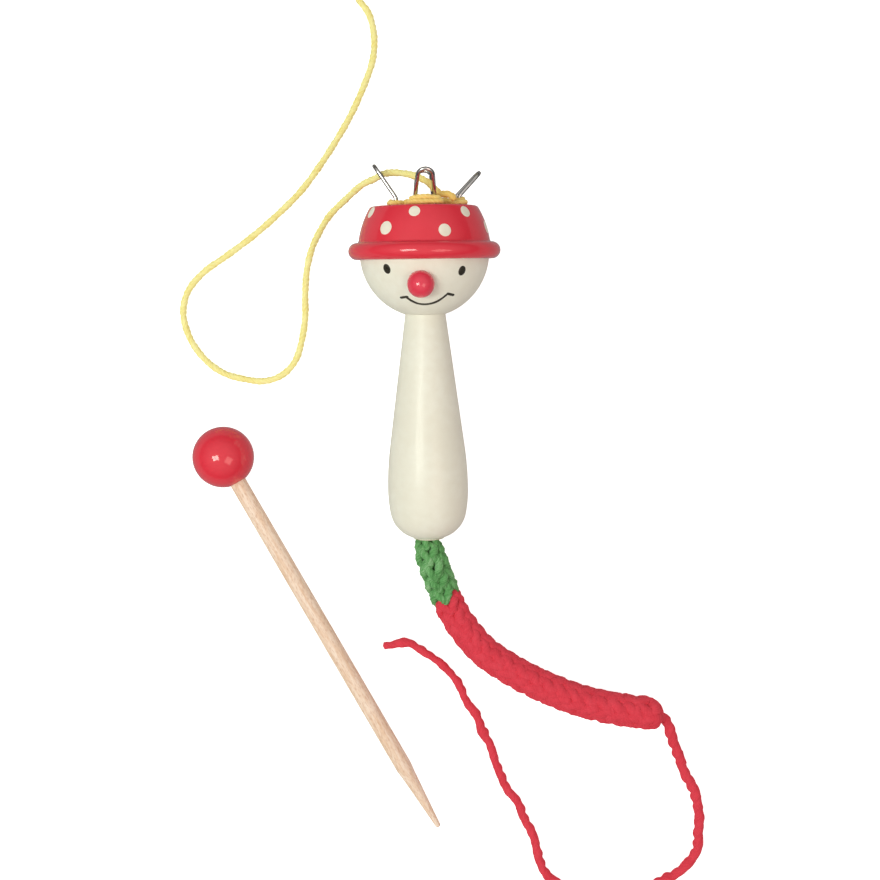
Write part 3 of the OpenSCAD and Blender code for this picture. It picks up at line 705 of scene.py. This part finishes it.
# %% Yarn material
def yarn(name, light, mid, dark, near_hat_shade=None):
    """Soft spun yarn: streaks along the plies between three colours, fibre bump and sheen. The first
    centimetres along each piece, which on the working yarn lie next to the hat, are darkened towards a warmer
    tone: painted shade and painted light thrown back by the red hat."""
    material, tree, output = new_material(name)
    own = add_node(tree, "ShaderNodeAttribute", attribute_name="own").outputs["Vector"]
    along = add_node(tree, "ShaderNodeMapping", {"Vector": own, "Scale": (2.2, 2.2, 0.35)})
    streaks = add_node(tree, "ShaderNodeTexNoise", {
        "Vector": along.outputs[0], "Scale": 1, "Detail": 4, "Roughness": 0.65})
    slow = add_node(tree, "ShaderNodeMapping", {"Vector": own, "Scale": (0.2, 0.2, 0.12)})
    patches = add_node(tree, "ShaderNodeTexNoise", {"Vector": slow.outputs[0], "Scale": 1, "Detail": 1})
    most = add_node(tree, "ShaderNodeMath", {0: streaks.outputs["Fac"], 1: 0.7}, operation="MULTIPLY")
    total = add_node(tree, "ShaderNodeMath", {0: patches.outputs["Fac"], 1: 0.3, 2: most.outputs[0]},
                     operation="MULTIPLY_ADD")
    tint = add_node(tree, "ShaderNodeValToRGB", {"Fac": total.outputs[0]})
    tint.color_ramp.elements[0].position = 0.3
    tint.color_ramp.elements[0].color = linear(dark)
    tint.color_ramp.elements[1].position = 0.72
    tint.color_ramp.elements[1].color = linear(light)
    middle = tint.color_ramp.elements.new(0.5)
    middle.color = linear(mid)
    colour = tint.outputs["Color"]
    # Painted shade: the first 3 to 15 mm along the yarn are darkened and warmed, as shade and red light from
    # the hat would do.
    if near_hat_shade:
        length = add_node(tree, "ShaderNodeSeparateXYZ", {0: own}).outputs["Z"]
        hat_shade_fade = add_node(tree, "ShaderNodeMapRange", {
            "Value": length, "From Min": 3, "From Max": 15, "To Min": 1, "To Max": 0})
        hat_shaded = add_node(tree, "ShaderNodeMix", {"Factor": hat_shade_fade.outputs[0], "A": colour, "B": linear(near_hat_shade)},
                        data_type="RGBA", blend_type="MULTIPLY")
        colour = hat_shaded.outputs["Result"]
    fuzz = add_node(tree, "ShaderNodeBump", {
        "Height": streaks.outputs["Fac"], "Strength": 0.5, "Distance": 0.12 * MM})
    fibre = add_node(tree, "ShaderNodeBsdfPrincipled", {
        "Base Color": colour, "Roughness": 0.9, "Normal": fuzz.outputs[0], "Specular IOR Level": 0.2,
        "Sheen Weight": 0.25, "Sheen Roughness": 0.5, "Sheen Tint": linear(light)})
    tree.links.new(fibre.outputs[0], output.inputs["Surface"])
    return material


# The working yarn's first centimetres, next to the hat, carry painted shade and painted red reflected light.
yellow_yarn = yarn("yellow cotton yarn", "#f8f3b7", "#f3ea9c", "#e9d371", near_hat_shade="#f3d8b8")
# A darker, more orange copy of the yellow yarn for the wraps on the hat: painted shade and painted light
# thrown back between the wraps and from the red hat.
shaded_wrap_yarn = yarn("yellow cotton yarn, darkened for painted shade", "#f9e7a4", "#f3d57f", "#e4b75b")
green_yarn = yarn("green wool yarn", "#9cc296", "#61a05f", "#2c5f28")
red_yarn = yarn("red wool yarn", "#db4958", "#d53e4d", "#c63241")
print("three yarns, one of them also darkened for painted shade")


# %% Plied tube
SLOW_WAVES, QUICK_WAVES = 0.132, 0.334
SLOW_SWELL, QUICK_SWELL = 0.05, 0.04


def plied(path, radius, reference, plies=4, pitch=6.3, depth=0.24, sides=16, joined=False):
    """A twisted yarn: the radius falls by depth (1 - |cos(plies lag / 2)|), where lag is the ring's angle and
    a full turn more for every pitch of length. Two waves, counted per mm, swell it here and there; on a
    joined path they are made to fit its length. Gives the rings and the fibres' own coordinates."""
    s = lengths_along(path)[:, None]
    waves = np.array([1 / pitch, SLOW_WAVES, QUICK_WAVES])
    if joined:
        total = s[-1, 0] + np.linalg.norm(path[-1] - path[0])
        waves = np.round(waves * total) / total
    twist, slow, quick = (2 * np.pi * wave * s for wave in waves)
    lag = np.linspace(0, 2 * np.pi, sides, endpoint=False) + twist
    swell = 1 + SLOW_SWELL * np.sin(slow + 1) + QUICK_SWELL * np.sin(quick)
    groove = 1 - np.abs(np.cos(plies * lag / 2))
    r = np.reshape(radius, (-1, 1)) * swell * (1 - np.reshape(depth, (-1, 1)) * groove)
    own = np.stack([r * np.cos(lag), r * np.sin(lag), s + 0 * lag], -1)
    return sweep(path, r, sides, reference, joined=joined), own


UP = np.array([0.0, 0, 1])

# %% [markdown]
# ### The yellow working yarn and its coil
# From the stitches on the hat the working yarn runs over the left staple, down to the table and round in one
# wide bend to the top of the picture. Its unseen rest is put away in a small coil just past the edge: turns
# that spiral in and out in four layers, climbing a layer in the half turn where the spiral reverses.

# %% Route of the yellow yarn
yarn_r, soft_gap, tie_t = 1.0, 0.1, 0.6
yarn_fluff, yarn_step = 1.08, 0.42
loops_h = hat_top + soft_gap + yarn_r
yarn_on_hat = np.array([
    [8.2, -6.2, -0.1], [8.4, -6.3, 1.1], [7, -6, 2], [5, -5.2, 2.2], [3.1, -4.4, 3.7],
    [1.4, -3.6, 5.6], [-2.7, -1, 7.7], [-7.4, 2, 8.8], [-11.6, 3.6, 8.7], [-14.5, 5.4, 7.4]])
yarn_on_table = np.array([
    [5, 95, 15], [0, 92.5, 7.5], [-5.5, 88.5, 2], [-9, 83.5, 0.2], [-11.5, 78, 0], [-13, 71.5, 0],
    [-13.5, 64, 0], [-13.5, 57, 0], [-14.5, 50, 0], [-16.5, 43.5, 0], [-20.5, 39, 0], [-26, 37, 0],
    [-32, 37.5, 0], [-39, 39.5, 0], [-45, 44, 0], [-49.5, 50.5, 0], [-51.5, 58, 0], [-50, 65, 0],
    [-45, 71, 0], [-38, 76, 0], [-30, 82, 0], [-22.5, 88.5, 0], [-15, 96, 0], [-9, 104, 0],
    [-3.5, 112.5, 0], [1, 120.5, 0], [5, 129.5, 0], [7.5, 137, 0], [8, 144, 0], [6.5, 151, 0], [3, 156, 0.1]])

coil_c, coil_entry, coil_turns, coil_layers = np.array([8.4, 175.9]), 221, 17.6, 4
coil_mid_r, coil_step = 11, 2.48
layer_turns = coil_turns / coil_layers
coil_out_r = coil_mid_r + layer_turns * coil_step / 2
coil_lift = tie_t + soft_gap + yarn_r


def coil_points(t):
    """Coil after t turns: the radius falls and rises by coil_step a turn, and the height climbs by a layer in
    the quarter turns before and after each reversal."""
    a = np.radians(coil_entry - 360 * t)
    r = coil_out_r - coil_step * np.abs((t + layer_turns) % (2 * layer_turns) - layer_turns)
    n = np.minimum(np.floor(t / layer_turns), coil_layers - 1)
    s = t - n * layer_turns
    climb_in = np.where((s < 0.25) & (n > 0), 2 * s - 0.5, 0)
    climb_out = np.where((s > layer_turns - 0.25) & (n < coil_layers - 1), 0.5 - 2 * (layer_turns - s), 0)
    z = coil_lift + coil_step * (n + climb_in + climb_out)
    return np.stack([coil_c[0] + r * np.cos(a), coil_c[1] + r * np.sin(a), z], -1)


coil = coil_points(np.linspace(0, coil_turns, int(coil_turns * 60)))
entry_angle = np.radians(coil_entry)
run_in = coil[0] - 2 * yarn_r * np.array([np.sin(entry_angle), -np.cos(entry_angle), 0])
hat_part = lay_doll(yarn_on_hat + [0, 0, loops_h])
free = smooth(np.vstack([hat_part, yarn_on_table + [0, 0, yarn_r], [run_in, coil[0]]]))
yarn_path = np.vstack([free, coil[1:]])
yarn_l = lengths_along(yarn_path)[-1]
yarn_path = even(yarn_path, int(yarn_l / yarn_step))
print(f"yellow yarn {yarn_l:.0f} mm long, {lengths_along(free)[-1]:.0f} mm of it outside the coil")

# %% Yellow yarn
rings, fibre = plied(yarn_path, round_ends(yarn_path, yarn_fluff * yarn_r), UP)
working_yarn = add_piece("working_yarn_yellow", [rings], [yellow_yarn], "doll",
                         own=[fibre], crease=180)
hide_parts("working_yarn", "yarn_coil")

# %% [markdown]
# The coil is held by a few turns of thin thread of the same cotton. Its turns follow a superellipse, an
# ellipse with a higher power that fills its corners, round the bundle's section. The outer side leans in
# towards the table by tie_lean, because the lowest layer's outermost turn lies further in there.

# %% Coil tie
tie_w, tie_turns, thread_r, tie_lean, corner_power = 3, 5, tie_t / 2, 1.3, 0.25
coil_in_r = coil_out_r - layer_turns * coil_step
coil_top = coil_lift + coil_step * (coil_layers - 1) + yarn_r
tie_inner = np.array([coil_in_r - yarn_r - soft_gap, tie_t])
tie_outer = np.array([coil_out_r + yarn_r + soft_gap, coil_top + soft_gap])
tie_mid, tie_half = (tie_inner + tie_outer) / 2, (tie_outer - tie_inner) / 2 + thread_r
tie_angle = np.radians(coil_entry - 360 * coil_turns + 20)
wound = np.linspace(0, tie_turns, tie_turns * 160)
circle = np.stack([np.cos(2 * np.pi * wound), np.sin(2 * np.pi * wound)], 1)
section = tie_mid + tie_half * (np.sign(circle) * np.abs(circle) ** corner_power)
outer_share = np.clip((section[:, 0] - tie_inner[0]) / (tie_outer[0] - tie_inner[0]), 0, 1)
section[:, 0] -= tie_lean * outer_share * np.clip(1 - section[:, 1] / coil_top, 0, 1)
step_along = (tie_w - 2 * thread_r) * (wound / tie_turns - 0.5)
tie_path = np.stack([section[:, 0], step_along, section[:, 1]], 1) @ turn_z(tie_angle).T + [*coil_c, 0]
tie_path = even(tie_path, 500)
tie_way = np.array([-np.sin(tie_angle), np.cos(tie_angle), 0])
rings, fibre = plied(tie_path, round_ends(tie_path, thread_r), tie_way, plies=2, pitch=2.4, sides=8)
tie_thread = add_piece("coil_tie_thread", [rings], [yellow_yarn], "doll",
                       own=[fibre], crease=180)
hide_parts("coil_tie")

# %% [markdown]
# ### The stitches on the staples
# The yarn lies once round the four staples, and under it each staple holds the loop of the last round, whose
# two legs go down into the hole. Both are plied tubes along smooth curves round the staples' legs.

# %% Stitches on the hat
half_gap = leg_gap / 2
leg_clear = wire_r + yarn_r + 2 * soft_gap
corner_out, front_out, back_in = 0.8 * leg_clear, 1.1 * leg_clear, 1
turn_in_r, turn_in_half = bore_r + yarn_r + soft_gap + 0.4, 3.6
round_r, round_lift = 0.78, 0.15
# Height of each staple's loop above the hat and the radius of its yarn, in mm.
LOOPS = {"staple_front": (2.1, 0.8), "staple_right": (1.9, 0.72),
         "staple_back": (2.1, 0.8), "staple_left": (1.4, 0.6)}
round_route, loops = [], []
for name, (turn, distance, _, _) in STAPLES.items():
    loop_h, loop_r = LOOPS[name]
    here = np.array([
        [turn_in_r - distance, -turn_in_half, 0], [-back_in, -half_gap - leg_clear, 0],
        [corner_out, -half_gap - corner_out, 0], [front_out, 0, 0], [corner_out, half_gap + corner_out, 0],
        [-back_in, half_gap + leg_clear, 0], [turn_in_r - distance, turn_in_half, 0]])
    round_route.append(at_side(here + [0, 0, round_lift + round_r], turn, distance))
    half_loop = np.array([
        [2.4 - distance, -1.2, -6], [2.8 - distance, -1.3, -2.5], [4.2 - distance, -1.8, 1.4],
        [-2.2, -half_gap - 0.5, loop_h - 0.4], [0.2, -half_gap - 1.2, loop_h - 0.3],
        [1.4, -half_gap * 0.55, loop_h + 0.1]])
    loop = np.vstack([half_loop, [[1.6, 0, loop_h + 0.2]], half_loop[::-1] * [1, -1, 1]])
    loop_path = even(smooth(at_side(loop, turn, distance)), 110)
    loop_width = round_ends(loop_path, loop_r)
    loops.append(plied(loop_path, loop_width, np.array([0.3, 0.2, 1]), plies=3, pitch=4.6, depth=0.32))
round_path = even(smooth(np.vstack(round_route), closed=True), 221)[:-1]
# The stitches on the hat use the yellow yarn copy with painted shade.
add_piece("stitch_loops_yellow", [lay_doll(rings) for rings, fibre in loops], [shaded_wrap_yarn], "doll",
          own=[fibre for rings, fibre in loops], crease=180)
rings, fibre = plied(round_path, round_r, UP, plies=3, pitch=4.6, depth=0.32, joined=True)
round_piece = add_piece("stitch_round_yellow", [lay_doll(rings)], [shaded_wrap_yarn], "doll",
                        closed=(True, True), own=[fibre], crease=180)
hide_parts("stitch_loops")

# %% [markdown]
# ### The knitted cord
# Four staples give a tube of four stitches a round. A stitch is a loop pulled through the loop below, and its
# yarn follows x = t + a sin 2t across, y = cos t along and z = -cos 2t outwards: wide at its head, narrow at
# its foot, with its two legs outside in a V. Carried round a tube and along its path, one unbroken spiral of
# stitches makes the whole cord. The colour changes from green to red between two stitches.

# %% Knitting formula
STITCHES_ROUND = 4
course_l, loop_half, spread = 4.5, 3.0, 1.6


def knit(centre, size, share, bulge, reference, stitches, ring_count=28):
    """Yarn of a knitted tube. With t the angle through the stitches, it lies at (t + spread sin 2t)/4 round
    the tube, at course_l t/(8 pi) - loop_half cos t along it and bulge cos 2t inside its middle radius. size
    is the tube's radius along the centre line, share the yarn's part of it. wobble makes no two stitches
    alike."""
    s_centre = lengths_along(centre)
    t = np.linspace(0, 2 * np.pi * stitches, int(stitches * ring_count))
    wobble = 1 + 0.07 * np.sin(1.7 * t) + 0.05 * np.sin(0.61 * t + 2)
    s = course_l * t / (2 * np.pi * STITCHES_ROUND) - loop_half * np.cos(t) * wobble
    s = np.clip(s, 0, s_centre[-1])
    angle = (t + spread * np.sin(2 * t)) / STITCHES_ROUND
    along = unit(np.gradient(centre, axis=0))
    across = unit(np.cross(along, reference))
    up = np.cross(across, along)

    def at(values):
        """Vectors along the centre line, read off at the yarn's points."""
        return np.stack([np.interp(s, s_centre, values[:, k]) for k in range(3)], 1)

    out = np.cos(angle)[:, None] * at(up) + np.sin(angle)[:, None] * at(across)
    full, part, swing = (np.interp(s, s_centre, np.broadcast_to(values, s_centre.shape))
                         for values in (size, share, bulge))
    yarn_here = part * full
    middle = full - yarn_here - swing
    path = at(centre) + (middle - swing * np.cos(2 * t) * wobble)[:, None] * out
    return path, round_ends(path, yarn_here), out


# %% Route of the knitted cord
cord_exit_r, cord_r, cord_end_r = 3.75, 4.5, 5.2
fluff = 1.06
green_route = np.array([[26.4, -19, 4.2], [28.2, -24.2, 2.1], [30.5, -30, 0.4]])
red_route = np.array([
    [33.2, -35.5, 0], [37, -41, 0], [42, -46.5, 0], [48.5, -51, 0], [55.5, -55, 0], [63, -58.5, 0],
    [71, -61.5, 0], [79, -63.5, 0], [87.5, -65, 0], [94.5, -65.6, 0], [97.5, -65.8, 0]])
green_size = np.array([cord_exit_r, 4.65, 4.9, 4.95, 4.9])
red_size = np.append(np.linspace(4.7, 4.95, 10), 4.5)
cord_size = fluff * np.concatenate([green_size, red_size])
cord_lift = np.append(cord_size[2:-1], cord_end_r)
cord_route = np.vstack([lay_doll(np.array([[0, 0, 0], [0, 0, -cord_exit_r]])),
                        np.vstack([green_route, red_route]) + cord_lift[:, None] * UP])
cord_path = smooth(cord_route)
cord_s = lengths_along(cord_path)
size_along = np.interp(cord_s, cord_s[::CURVE_STEPS], cord_size)
cord_l = cord_s[-1]
green_l = lengths_along(smooth(cord_route[:5]))[-1]
print(f"knitted cord {cord_l:.0f} mm long, {green_l:.0f} mm of it green")

# %% Knitted cord
FILL_RINGS, felt_l, change_lag, end_free, closed_end = 300, 8, 1.5, 4, 3
stitches = int((cord_l - end_free) / course_l * STITCHES_ROUND)
felted = np.interp(cord_s, [green_l, green_l + felt_l], [0, 1])
share, bulge = 0.27 + 0.11 * felted, 0.6 - 0.42 * felted
stitch_path, stitch_width, stitch_out = knit(cord_path, size_along, share, bulge, UP, stitches)
strand_depth = np.interp(np.linspace(0, cord_l, len(stitch_path)), [green_l, green_l + felt_l], [0.34, 0.08])
rings, fibre = plied(stitch_path, stitch_width, stitch_out, plies=3, pitch=5, depth=strand_depth, sides=18)
inner = even(cord_path, FILL_RINGS)
inner_size = np.interp(lengths_along(inner), cord_s, (0.5 + 0.39 * felted) * size_along)
fill, fill_fibre = plied(inner, round_ends(inner, inner_size), UP, plies=4, pitch=14, depth=0.2, sides=16)
change = int(len(stitch_path) * (green_l + change_lag) / cord_l)
fill_change = int(FILL_RINGS * (green_l + change_lag) / cord_l)
cord_own = [fibre[:change + 1], fibre[change:], fill_fibre[:fill_change + 1], fill_fibre[fill_change:]]
knitted_cord = add_piece(
    "knitted_cord", [rings[:change + 1], rings[change:], fill[:fill_change + 1], fill[fill_change:]],
    [green_yarn, red_yarn], "doll", own=cord_own, crease=180)
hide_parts("knitted_cord_green", "knitted_cord_red")

# %% [markdown]
# Inside the doll the cord runs on up to the hat, where the newest rounds are yellow. Only its top shows, in
# the mouth of the hole, so the same formula runs with fewer rings.

# %% Knitting in the bore
CORE_POINTS, yellow_part = 40, 0.3
core_h = np.linspace(hat_top - 2, 0.5, CORE_POINTS)
core_centre = np.stack([np.zeros(CORE_POINTS), np.zeros(CORE_POINTS), core_h], 1)
core_l = lengths_along(core_centre)[-1]
core_stitches = int(core_l / course_l * STITCHES_ROUND)
core_path, core_width, core_out = knit(core_centre, cord_exit_r, 0.26, 0.6, np.array([0.0, -1, 0]),
                                       core_stitches, 14)
rings, fibre = plied(core_path, core_width, core_out, plies=3, pitch=7, depth=0.2, sides=6)
to_green = int(len(core_path) * yellow_part)
bore_knitting = add_piece("bore_knitting", [lay_doll(rings[:to_green + 1]), lay_doll(rings[to_green:])],
                          [yellow_yarn, green_yarn], "doll",
                          own=[fibre[:to_green + 1], fibre[to_green:]], crease=180)
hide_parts("knitted_core")

# %% [markdown]
# ### The red tail
# The yarn that started the cord hangs on as a tail. It has been knitted and pulled out again, so it is kinked
# and lumpy: its width and its line both waver along the length.

# %% Red tail
tail_r, tail_step, tail_corner, lump_l, table_skin = 1.5, 0.4, 0.4, 1.7, 0.02
# Waves along the tail, in radians for each mm.
kinks, slow_kinks, swells = 1.7, 0.61, 0.77
tail_route = np.array([
    [95.6, -66.4, 3.6], [98.4, -68.2, 1.7], [101, -74.5, 0], [102.5, -79, 0], [105, -85.5, 0],
    [108, -91.5, 0], [109, -97, 0], [109, -103, 0], [108.5, -108.5, 0], [105, -114, 0], [98, -118.5, 0],
    [89.5, -122, 0], [81, -123.5, 0], [71.5, -122, 0], [64, -118.5, 0], [60, -114, 0], [58, -106, 0],
    [54.5, -98.5, 0], [52.5, -94, 0], [49.5, -90, 0], [47, -85, 0], [44.5, -77.5, 0], [42, -72.5, 0],
    [40, -67.5, 0], [37, -63, 0], [34, -57, 0], [31, -53, 0], [26, -49, 0], [21.5, -46, 0],
    [17.5, -44.5, 0], [10.7, -45.6, 0]])
tail_path = smooth(tail_route + [0, 0, tail_r])
tail_l = lengths_along(tail_path)[-1]
tail_path = even(tail_path, int(tail_l / tail_step))
tail_s = lengths_along(tail_path)
sideways = unit(np.cross(unit(np.gradient(tail_path, axis=0)), UP))
fade = 1 - 0.6 * tail_s / tail_s[-1]
waver = 0.12 * fade * np.sin(tail_s * kinks) + 0.12 * np.sin(tail_s * slow_kinks + 1)
# Place on the table in mm, and the part by which the yarn swells there.
LUMPS = np.array([[109.4, -89.8, 0.25], [40.6, -66, 0.35], [42.3, -72.4, 0.3], [17.6, -45.3, 0.3]])
away = np.linalg.norm(tail_path[:, None, :2] - LUMPS[:, :2], axis=2)
lumps = np.exp(-(away / lump_l) ** 2) @ LUMPS[:, 2]
uneven = 1 + 0.07 * fade * np.sin(tail_s * kinks + 0.6) + 0.04 * np.sin(tail_s * swells) + lumps
tail_width = uneven * np.interp(tail_s / tail_s[-1], [0, 0.3, 0.65, 1], [1.72, 1.55, 1.4, 1.25])
tail_path = tail_path + waver[:, None] * sideways
rings, fibre = plied(tail_path, round_ends(tail_path, tail_width, tail_corner), UP,
                     plies=3, pitch=9, depth=0.12, sides=12)
rings[..., 2] = np.maximum(rings[..., 2], table_skin)
red_tail = add_piece("red_tail", [rings], [red_yarn], "doll", own=[fibre], crease=180)
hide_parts("tail_yarn")
print(f"red tail {lengths_along(tail_path)[-1]:.0f} mm long")

# %% [markdown]
# ## The needle
# The lifting needle is a beech rod with a long taper, glued into a red bead. Beech is pale, with a fine
# straight grain and short dark flecks along it. The grain is noise stretched along the rod's own axis, about
# 0.8 mm across and 8 mm long, and a fleck is 0.3 mm by 1.3 mm.

# %% Beech
beech, tree, output = new_material("beech, sanded")
own = add_node(tree, "ShaderNodeAttribute", attribute_name="own").outputs["Vector"]
grain_way = add_node(tree, "ShaderNodeMapping", {"Vector": own, "Scale": (1.3, 1.3, 0.12)})
grain = add_node(tree, "ShaderNodeTexNoise", {
    "Vector": grain_way.outputs[0], "Scale": 1, "Detail": 4, "Roughness": 0.6})
tint = add_node(tree, "ShaderNodeValToRGB", {"Fac": grain.outputs["Fac"]})
tint.color_ramp.elements[0].position = 0.32
tint.color_ramp.elements[0].color = linear("#dfbc9e")
tint.color_ramp.elements[1].position = 0.62
tint.color_ramp.elements[1].color = linear("#efdac8")
fleck_way = add_node(tree, "ShaderNodeMapping", {"Vector": own, "Scale": (3.2, 3.2, 0.8)})
flecks = add_node(tree, "ShaderNodeTexNoise", {"Vector": fleck_way.outputs[0], "Scale": 1, "Detail": 1})
dark = add_node(tree, "ShaderNodeMapRange", {
    "Value": flecks.outputs["Fac"], "From Min": 0.52, "From Max": 0.68, "To Min": 0.0, "To Max": 0.5})
colour = add_node(tree, "ShaderNodeMix", {
    "Factor": dark.outputs[0], "A": tint.outputs["Color"], "B": linear("#c29474")}, data_type="RGBA")
feel = add_node(tree, "ShaderNodeBump", {
    "Height": grain.outputs["Fac"], "Strength": 0.15, "Distance": 0.2 * MM})
wood = add_node(tree, "ShaderNodeBsdfPrincipled", {
    "Base Color": colour.outputs["Result"], "Roughness": 0.62, "Normal": feel.outputs[0], "IOR": 1.45})
tree.links.new(wood.outputs[0], output.inputs["Surface"])
print("sanded beech")

# %% The needle's sizes and how it lies
bead_r, shaft_r, shank_l, taper_l, tip_r, shaft_end_r, shaft_end_l = 9.3, 2.55, 102.5, 21.5, 0.8, 2.1, 9
bead_flat = np.sqrt(bead_r ** 2 - shaft_r ** 2)
shoulder = bead_flat + shank_l
slope = np.arcsin(bead_r / np.hypot(shoulder, shaft_r)) - np.arctan2(shaft_r, shoulder)
NEEDLE_TURN = turn_z(np.radians(29.7)) @ turn_x(np.pi / 2 + slope)
NEEDLE_PLACE = np.array([-37.6, 13.4, bead_r])


def lay_needle(points):
    """Points of the standing needle, turned and moved to where it lies on the table."""
    return points @ NEEDLE_TURN.T + NEEDLE_PLACE


print(f"the needle lies on its bead and its taper, at a slope of {np.degrees(slope):.1f} degrees")

# %% Shaft
glue_l, shoulder_half, shoulder_r, taper_in, taper_on = 0.4, 2, 30, 0.35, 2.4
end_h = bead_flat - shaft_end_l
tip_h = shoulder + taper_l - tip_r
shaft_profile = np.vstack([
    [[0, end_h], [shaft_end_r, end_h], [shaft_end_r, bead_flat - glue_l]],
    line((shaft_r, bead_flat - glue_l), (shaft_r, shoulder - shoulder_half), 40),
    arc((shaft_r - shoulder_r, shoulder - shoulder_half), shoulder_r, 0, 4, 6)[1:],
    line((shaft_r - taper_in, shoulder + taper_on), (tip_r, tip_h), 30),
    arc((0, tip_h), tip_r, 10, 90, 10),
])
shaft = revolve(shaft_profile, 64)
needle_shaft = add_piece("needle_shaft_beech", [lay_needle(shaft)], [beech], "needle", own=[shaft])
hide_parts("needle_shaft")

# %% Bead
hole_r = shaft_end_r + glue_gap
rim_in, rim_drop, hole_drop = 0.1, 0.25, 0.3
rim = np.degrees(np.arccos(shaft_r / bead_r))
bead_profile = np.vstack([
    arc((0, 0), bead_r, -90, rim - 2, 80),
    [[shaft_r - rim_in, bead_flat - rim_drop], [hole_r, bead_flat - hole_drop],
     [hole_r, end_h - glue_gap], [0, end_h - glue_gap]],
])
bead = revolve(bead_profile, 128)
needle_bead = add_piece("needle_bead_enamel", [lay_needle(bead)], [red_enamel], "needle",
                        own=[bead])
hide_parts("needle_bead")
